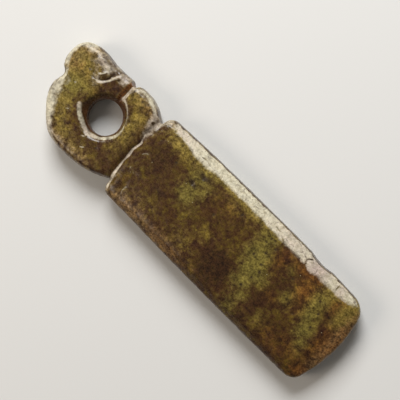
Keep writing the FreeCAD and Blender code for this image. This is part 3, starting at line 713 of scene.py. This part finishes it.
def hole_soil(places):
    """1 where soil has stained the walls of the cord hole, out to the worn rim of its mouths."""
    radius, (rim, half_width, _) = worn_rim(places)
    edge = rim - SOIL_EDGE_SHARE * half_width
    return 1 - smooth(radius, edge - SOIL_FADE, edge)


def in_slit(places):
    """1 on the walls of the slit between the snout and the tail."""
    inside = 1 - smooth(np.abs(places[:, 0] - HOLE_X - SLIT_SHIFT), *SLIT_HALF_WIDTHS)
    return inside * smooth(places[:, 1] - HOLE_Y - HOLE_RADIUS, *SLIT_START)


def keep(mesh, name, values):
    """Stores one number for each vertex."""
    attribute = mesh.attributes.new(name, "FLOAT", "POINT")
    attribute.data.foreach_set("value", values.astype(np.float32))


def mark_skin(mesh):
    """Stores what the material needs to know of each place on the stone."""
    places, normals = places_of(mesh), normals_of(mesh)
    shares = {name: any_cloud(places, clouds, CLOUD_SOFTNESS) for name, clouds in CLOUDS.items()}
    halo = HALO_STRENGTH * strip_at(places, normals, *HALO_BORDER_FADE)
    halo *= 1 - smooth(places[:, 0], *HALO_STOPS) * (1 - smooth(places[:, 0], *HALO_STARTS))
    shares["yellow"] = np.maximum(shares["yellow"], halo)
    # Veins, and painted shade in the pits and on the floors of two nicks.
    veins = np.maximum(lines(places, DARK_VEINS_AND_NICK_SHADE), in_pits(places))
    veins *= smooth(normals[:, 2], *MARKED_FACE)
    shares["vein"] = veins
    for name, values in shares.items():
        keep(mesh, name, values)

    # The slit: its wall on the tail's side is pale, partly bleached skin and partly painted highlight where
    # it faces the key lamp, and the one on the snout's side is stained.
    slit = in_slit(places)
    tail_wall_pale_and_highlight = TAIL_WALL_PALE_AND_HIGHLIGHT * slit * smooth(-normals[:, 0], *WALL_FACE)
    pale = np.maximum(pale_skin_and_highlights(places, normals), tail_wall_pale_and_highlight)
    keep(mesh, "pale", pale * (1 - veins))
    keep(mesh, "stain", slit * smooth(normals[:, 0], *WALL_FACE))
    keep(mesh, "soil", hole_soil(places))


def make_stone(material):
    """The whole stone, carved and worn, in the CAD node's place."""
    piece = merged_copy(frame["nodes"][NODE], "carved_jade_stone")
    remesh(piece)
    mesh = piece.data
    places, normals = places_of(mesh), normals_of(mesh)
    places = waver_neck(flare_hole(places, normals))
    places = carve(places, normals, STROKES)
    nicks = [(half_width, rise, path) for half_width, rise, _, path in NICKS]
    places = carve(places, normals, nicks, front_only=True)
    places[:, 2] -= PIT_DEPTH * in_pits(places) * smooth(normals[:, 2], *CARVED_FACE)
    move(mesh, places)
    keep(mesh, "rubbed", rubbed(places, normals))
    weather(piece, material)
    mesh = piece.data
    move(mesh, settle(places_of(mesh)))
    mark_skin(mesh)
    mesh.transform(Matrix.Scale(MM, 4))
    mesh.update()
    return piece


# The material.

# The colour sockets of a Mix node, which share their names with its other kinds of value.
UNDER, OVER, MIXED = 6, 7, 2

# The stone's noises, by name: the size of their marks in millimetres, detail and roughness. A slow
# sway bends the larger ones. Nephrite's own fibres are far too fine to show, so the finest noise is
# drawn at 0.5 mm.
SWAYED_NOISES = {"cloudy": (4.5, 4.0, 0.6), "mottle": (2.0, 5.0, 0.66)}
STRAIGHT_NOISES = {"grain": (0.9, 5.0, 0.7), "fleck": (0.5, 3.0, 0.6)}
SECOND_GRAIN = (1.1, 4.0, 0.68)
SECOND_GRAIN_SHIFT = (31.0, 17.0, 53.0)
SWAY_SIZE = 5.0
SWAY_REACH = 3.0

# The clouds' tones, from the lowest layer up: name, two tones that the grain mixes, and strength.
CLOUD_TONES = [
    ("yellow", "#60501a", "#937f3e", 0.82),
    ("dark", "#1f1108", "#3a220e", 0.8),
    ("tan", "#6a5236", "#a98d60", 0.82),
    ("green", "#544a1e", "#7c7033", 0.85),
    ("rust", "#502d12", "#805220", 0.76),
]

# The soil in the hole, the slit's stained wall, and the veins with the painted shade of the pits and nick
# floors, in the same way.
STAIN_TONES = [
    ("soil", "#4a3220", "#604029", 0.8),
    ("stain", "#3c1f0d", "#8f5a26", 0.9),
    ("vein", "#20160c", "#3a2a1c", 0.9),
]

# Dots: spacing, radius and radius of the full tone in millimetres, the number that a cell has to pass
# to hold a dot, tone and strength.
DARK_DOTS = (1.1, 0.2, 0.1, 0.62, "#1c1207", 0.7)
# The pale glints are painted highlights: tiny glints of the polish put into the colour.
PAINTED_GLINTS = (2.3, 0.16, 0.08, 0.6, "#c9bd96", 0.55)
BLEACHED_DOTS = (0.9, 0.216, 0.09, 0.6, "#7d7264", 0.55)

# How far apart the fine veins of the bleached skin lie, and how deep the polish is uneven.
VEIN_SPACING = 3.4
POLISH_DEPTH = 0.05


def stone_noises(tree):
    """The place in millimetres, the same place swayed, and the noises that the colours share."""
    place = add(tree, "ShaderNodeVectorMath", operation="SCALE", links={
        0: add(tree, "ShaderNodeTexCoord").outputs["Object"], "Scale": 1 / MM})
    sway = add(tree, "ShaderNodeTexNoise", links={
        "Vector": place, "Scale": 1 / SWAY_SIZE, "Detail": 2.0})
    swayed = add(tree, "ShaderNodeVectorMath", operation="MULTIPLY_ADD", links={
        0: sway.outputs["Color"], 1: (SWAY_REACH, SWAY_REACH, SWAY_REACH), 2: place})
    shifted = add(tree, "ShaderNodeVectorMath", operation="ADD", links={
        0: place, 1: SECOND_GRAIN_SHIFT})
    noises = {}
    for where, kinds in [(swayed, SWAYED_NOISES), (place, STRAIGHT_NOISES),
                         (shifted, {"second_grain": SECOND_GRAIN})]:
        for name, (size, detail, roughness) in kinds.items():
            noises[name] = add(tree, "ShaderNodeTexNoise", links={
                "Vector": where, "Scale": 1 / size, "Detail": detail, "Roughness": roughness})
    return place, swayed, SimpleNamespace(**noises)


def olive_ground(tree, noises):
    """The ground of the stone, olive to red-brown, with dark brown flecks."""
    hue = add(tree, "ShaderNodeMath", operation="MULTIPLY_ADD", links={
        0: noises.cloudy, 1: 0.45, 2: noises.mottle})
    ground = add(tree, "ShaderNodeValToRGB", links={
        "Fac": add(tree, "ShaderNodeMapRange", links={
            "Value": hue, "From Min": 0.5, "From Max": 0.95})})
    ramp = ground.color_ramp.elements
    ramp[0].color, ramp[1].color = linear("#3d2010"), linear("#574610")
    for position, tone in [(0.4, "#442c12"), (0.66, "#493711")]:
        ramp.new(position).color = linear(tone)
    flecked = add(tree, "ShaderNodeMapRange", interpolation_type="SMOOTHSTEP", links={
        "Value": noises.second_grain, "From Min": 0.52, "From Max": 0.66, "To Max": 0.5})
    return add(tree, "ShaderNodeMix", data_type="RGBA", links={
        "Factor": flecked, UNDER: ground.outputs["Color"], OVER: linear("#3f291b")}).outputs[MIXED]


def layered(tree, colour, amount, speckle, tone, other_tone):
    """The colour under a layer of two tones, which the grain mixes."""
    tones = add(tree, "ShaderNodeMix", data_type="RGBA", links={
        "Factor": speckle, UNDER: linear(tone), OVER: linear(other_tone)})
    return add(tree, "ShaderNodeMix", data_type="RGBA", links={
        "Factor": amount, UNDER: colour, OVER: tones.outputs[MIXED]}).outputs[MIXED]


def with_clouds(tree, colour, ragged, speckle):
    """The colour under the clouds, whose borders the grain breaks up."""
    for name, *tones, strength in CLOUD_TONES:
        amount = add(tree, "ShaderNodeAttribute", attribute_name=name).outputs["Fac"]
        amount = add(tree, "ShaderNodeMath", operation="ADD", links={0: amount, 1: ragged})
        amount = add(tree, "ShaderNodeMapRange", interpolation_type="SMOOTHSTEP", links={
            "Value": amount, "From Min": 0.15, "From Max": 0.9, "To Max": strength})
        colour = layered(tree, colour, amount, speckle, *tones)
    return colour


def with_fibres(tree, colour, noises):
    """The colour with the stone's fibres, lighter and darker, down to half a millimetre."""
    fibre = 0.0
    for noise, weight in [(noises.mottle, 1.3), (noises.second_grain, 0.7), (noises.fleck, 0.6)]:
        fibre = add(tree, "ShaderNodeMath", operation="MULTIPLY_ADD", links={
            0: noise, 1: weight, 2: fibre})
    fibre = add(tree, "ShaderNodeMapRange", links={
        "Value": fibre, "From Min": 1.0, "From Max": 1.6, "To Min": 0.45, "To Max": 1.55})
    return add(tree, "ShaderNodeVectorMath", operation="SCALE", links={
        0: colour, "Scale": fibre}).outputs[0]


def with_dots(tree, colour, place, spacing, radius, full_radius, gate, tone, strength):
    """The colour with round dots of a tone in some cells of an uneven grid."""
    cells = add(tree, "ShaderNodeTexVoronoi", links={"Vector": place, "Scale": 1 / spacing})
    dot = add(tree, "ShaderNodeMapRange", interpolation_type="SMOOTHSTEP", links={
        "Value": cells.outputs["Distance"], "From Min": radius / spacing,
        "From Max": full_radius / spacing, "To Max": strength})
    gated = add(tree, "ShaderNodeMath", operation="GREATER_THAN", links={
        0: cells.outputs["Color"], 1: gate})
    dot = add(tree, "ShaderNodeMath", operation="MULTIPLY", links={0: dot, 1: gated})
    return add(tree, "ShaderNodeMix", data_type="RGBA", links={
        "Factor": dot, UNDER: colour, OVER: linear(tone)}).outputs[MIXED]


def bleached(tree, place, swayed, noises, ragged):
    """The bleached skin, cream to pink and grey-brown, with fine dark veins and dots."""
    rosy = add(tree, "ShaderNodeAttribute", attribute_name="rosy").outputs["Fac"]
    rosy = add(tree, "ShaderNodeMath", operation="ADD", links={0: rosy, 1: ragged})
    rosy = add(tree, "ShaderNodeMapRange", links={
        "Value": rosy, "From Min": 0.05, "From Max": 0.85})
    bleach = add(tree, "ShaderNodeMix", data_type="RGBA", links={
        "Factor": rosy, UNDER: linear("#cac3ab"), OVER: linear("#b8a69b")}).outputs[MIXED]
    dirty = add(tree, "ShaderNodeMapRange", links={
        "Value": noises.second_grain, "From Min": 0.45, "From Max": 0.7, "To Max": 0.7})
    bleach = add(tree, "ShaderNodeMix", data_type="RGBA", links={
        "Factor": dirty, UNDER: bleach, OVER: linear("#8d8266")}).outputs[MIXED]
    shade = add(tree, "ShaderNodeMapRange", links={
        "Value": add(tree, "ShaderNodeMath", operation="ADD", links={
            0: noises.fleck, 1: noises.mottle}),
        "From Min": 0.75, "From Max": 1.25, "To Min": 0.72, "To Max": 1.28})
    bleach = add(tree, "ShaderNodeVectorMath", operation="SCALE", links={
        0: bleach, "Scale": shade}).outputs[0]

    # Veins between uneven cells, each there only in places.
    veins = add(tree, "ShaderNodeTexVoronoi", feature="DISTANCE_TO_EDGE", links={
        "Vector": swayed, "Scale": 1 / VEIN_SPACING})
    vein = add(tree, "ShaderNodeMapRange", interpolation_type="SMOOTHSTEP", links={
        "Value": veins.outputs["Distance"], "From Min": 0.045, "From Max": 0.01, "To Max": 0.75})
    sparse = add(tree, "ShaderNodeMapRange", links={
        "Value": noises.grain, "From Min": 0.48, "From Max": 0.56})
    vein = add(tree, "ShaderNodeMath", operation="MULTIPLY", links={0: vein, 1: sparse})
    bleach = add(tree, "ShaderNodeMix", data_type="RGBA", links={
        "Factor": vein, UNDER: bleach, OVER: linear("#6f6358")}).outputs[MIXED]
    return with_dots(tree, bleach, place, *BLEACHED_DOTS)


def jade():
    """Nephrite, ground flat on wet stone, polished by hand and weathered.

    The eye sees clouds of olive, yellow, brown and rust that run through the stone, a waxy gloss,
    painted shade in the hollows and a bleached skin on the worn borders, partly painted highlight.
    """
    material = bpy.data.materials.new("nephrite_jade_ground_and_hand_polished")
    material.use_nodes = True
    tree = material.node_tree
    tree.nodes.clear()
    place, swayed, noises = stone_noises(tree)

    # What breaks up the borders of the clouds, and what mixes the two tones of each.
    blend = add(tree, "ShaderNodeMath", operation="ADD", links={0: noises.mottle, 1: noises.grain})
    ragged = add(tree, "ShaderNodeMath", operation="MULTIPLY_ADD", links={
        0: blend, 1: 0.8, 2: -0.8})
    speckle = add(tree, "ShaderNodeMapRange", links={
        "Value": add(tree, "ShaderNodeMath", operation="ADD", links={
            0: noises.fleck, 1: noises.second_grain}),
        "From Min": 0.74, "From Max": 1.26})

    colour = olive_ground(tree, noises)
    colour = with_clouds(tree, colour, ragged, speckle)
    colour = with_fibres(tree, colour, noises)

    # Painted shade in the hollows, and a paler tone on what stands proud: partly wear and partly painted
    # highlight.
    relief = add(tree, "ShaderNodeAttribute", attribute_name="relief").outputs["Fac"]
    hollow = add(tree, "ShaderNodeMapRange", links={
        "Value": relief, "From Min": -0.02, "From Max": -0.16, "To Max": 0.38})
    proud = add(tree, "ShaderNodeMapRange", links={
        "Value": relief, "From Min": 0.08, "From Max": 0.22, "To Max": 0.3})
    for amount, tone in [(hollow, "#33241a"), (proud, "#9d8f60")]:
        colour = add(tree, "ShaderNodeMix", data_type="RGBA", links={
            "Factor": amount, UNDER: colour, OVER: linear(tone)}).outputs[MIXED]
    # Dark dots, and pale dots that are painted glints of the polish.
    for dots in [DARK_DOTS, PAINTED_GLINTS]:
        colour = with_dots(tree, colour, place, *dots)

    # The pale skin over all this, bleached and partly painted highlight, and the stains over both.
    pale = add(tree, "ShaderNodeAttribute", attribute_name="pale").outputs["Fac"]
    pale = add(tree, "ShaderNodeMath", operation="MULTIPLY_ADD", links={0: ragged, 1: 1.2, 2: pale})
    pale = add(tree, "ShaderNodeMapRange", interpolation_type="SMOOTHSTEP", links={
        "Value": pale, "From Min": 0.2, "From Max": 0.95, "To Max": 0.94})
    bleach = bleached(tree, place, swayed, noises, ragged)
    colour = add(tree, "ShaderNodeMix", data_type="RGBA", links={
        "Factor": pale, UNDER: colour, OVER: bleach}).outputs[MIXED]
    for name, *tones, strength in STAIN_TONES:
        stain = add(tree, "ShaderNodeAttribute", attribute_name=name).outputs["Fac"]
        stain = add(tree, "ShaderNodeMath", operation="MULTIPLY", links={0: stain, 1: strength})
        colour = layered(tree, colour, stain, speckle, *tones)

    # Waxy polish, duller where the skin is bleached and in the hollows.
    rough = add(tree, "ShaderNodeMapRange", links={
        "Value": noises.fleck, "From Min": 0.3, "From Max": 0.7, "To Min": 0.22, "To Max": 0.34})
    for dull, amount in [(pale, 0.2), (hollow, 0.25)]:
        rough = add(tree, "ShaderNodeMath", operation="MULTIPLY_ADD", links={
            0: dull, 1: amount, 2: rough})

    # The unevenness of the polish, too fine for the mesh.
    bump = add(tree, "ShaderNodeBump", links={
        "Strength": 0.5, "Distance": POLISH_DEPTH * MM, "Height": noises.fleck})
    surface = add(tree, "ShaderNodeBsdfPrincipled", links={
        "Base Color": colour, "Roughness": rough, "Normal": bump, "IOR": 1.61,
        "Specular IOR Level": 0.3})
    add(tree, "ShaderNodeOutputMaterial", links={"Surface": surface})
    return material


def plain(name, colour, roughness):
    """A plain matt material for the floor."""
    material = bpy.data.materials.new(name)
    material.use_nodes = True
    surface = material.node_tree.nodes["Principled BSDF"]
    surface.inputs["Base Color"].default_value = linear(colour)
    surface.inputs["Roughness"].default_value = roughness
    return material


# The studio.

# The floor reaches far past the picture.
FLOOR_HALF = 1500

# The camera: its tilt from straight above and the turn of the picture in degrees, its distance, the
# point that it looks at, its lens and its nearest view.
CAMERA_TILT = 7
FRAME_TURN = 45
CAMERA_DISTANCE = 300
CAMERA_TARGET = Vector((0.28, 3.07, 4.7))
CAMERA_LENS = 92.3
NEAR_CLIP = 10

# The lamps: name, place, size, watts and colour. The fill is a little warm.
LAMPS = [
    ("key_softbox", (-420, 460, 520), 420, 8.1, "#ffffff"),
    ("fill_softbox", (-400, -440, 560), 380, 2.1, "#fff0e0"),
]
LAMP_UP = Vector((0.1, 1, 0))
EVEN_FILL = 0.18


def lay_floor():
    """The pale floor that the stone lies on."""
    mesh = bpy.data.meshes.new("floor")
    half = FLOOR_HALF * MM
    mesh.from_pydata([(-half, -half, 0), (half, -half, 0), (half, half, 0), (-half, half, 0)],
                     [], [(0, 1, 2, 3)])
    floor = bpy.data.objects.new("floor", mesh)
    mesh.materials.append(plain("pale_matt_floor", "#d8d8d6", 0.9))
    bpy.context.scene.collection.objects.link(floor)


def aim(item, place, target, up):
    """Puts a camera or a lamp at a place, looking at a target, with one side up."""
    back = (place - target).normalized()
    right = up.cross(back).normalized()
    turned = Matrix((right, back.cross(right), back)).transposed().to_4x4()
    item.matrix_world = Matrix.Translation(place * MM) @ turned


def set_camera():
    """Looks down on the front face, a little from the edge's end and the snout's side."""
    tilt = math.radians(CAMERA_TILT)
    turn = math.radians(FRAME_TURN)
    back = Vector((math.sin(tilt) * math.cos(tilt), math.sin(tilt), math.cos(tilt) ** 2))
    along = (Vector((1, 0, 0)) - back * back.x).normalized()
    up = back.cross(along) * math.cos(turn) - along * math.sin(turn)
    camera = bpy.data.objects.new("camera", bpy.data.cameras.new("camera"))
    camera.data.lens = CAMERA_LENS
    camera.data.clip_start = NEAR_CLIP * MM
    bpy.context.scene.collection.objects.link(camera)
    bpy.context.scene.camera = camera
    aim(camera, CAMERA_TARGET + back * CAMERA_DISTANCE, CAMERA_TARGET, up)


def hang_lamp(name, place, size, watts, colour):
    """A square soft lamp that points at the stone."""
    lamp = bpy.data.objects.new(name, bpy.data.lights.new(name, "AREA"))
    lamp.data.color = linear(colour)[:3]
    lamp.data.size = size * MM
    lamp.data.energy = watts
    bpy.context.scene.collection.objects.link(lamp)
    aim(lamp, Vector(place), Vector((0, 0, 0)), LAMP_UP)


def light():
    """A broad soft lamp over the snout's side, a weaker one over the belly's, and even fill."""
    for lamp in LAMPS:
        hang_lamp(*lamp)
    world = bpy.data.worlds.new("even_fill")
    world.use_nodes = True
    sky = world.node_tree.nodes["Background"]
    sky.inputs["Color"].default_value = linear("#f6f1e8")
    sky.inputs["Strength"].default_value = EVEN_FILL
    bpy.context.scene.world = world
    bpy.context.scene.view_settings.view_transform = "Standard"


stone = make_stone(jade())
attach(stone, "root")
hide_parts(NODE)
lay_floor()
set_camera()
light()
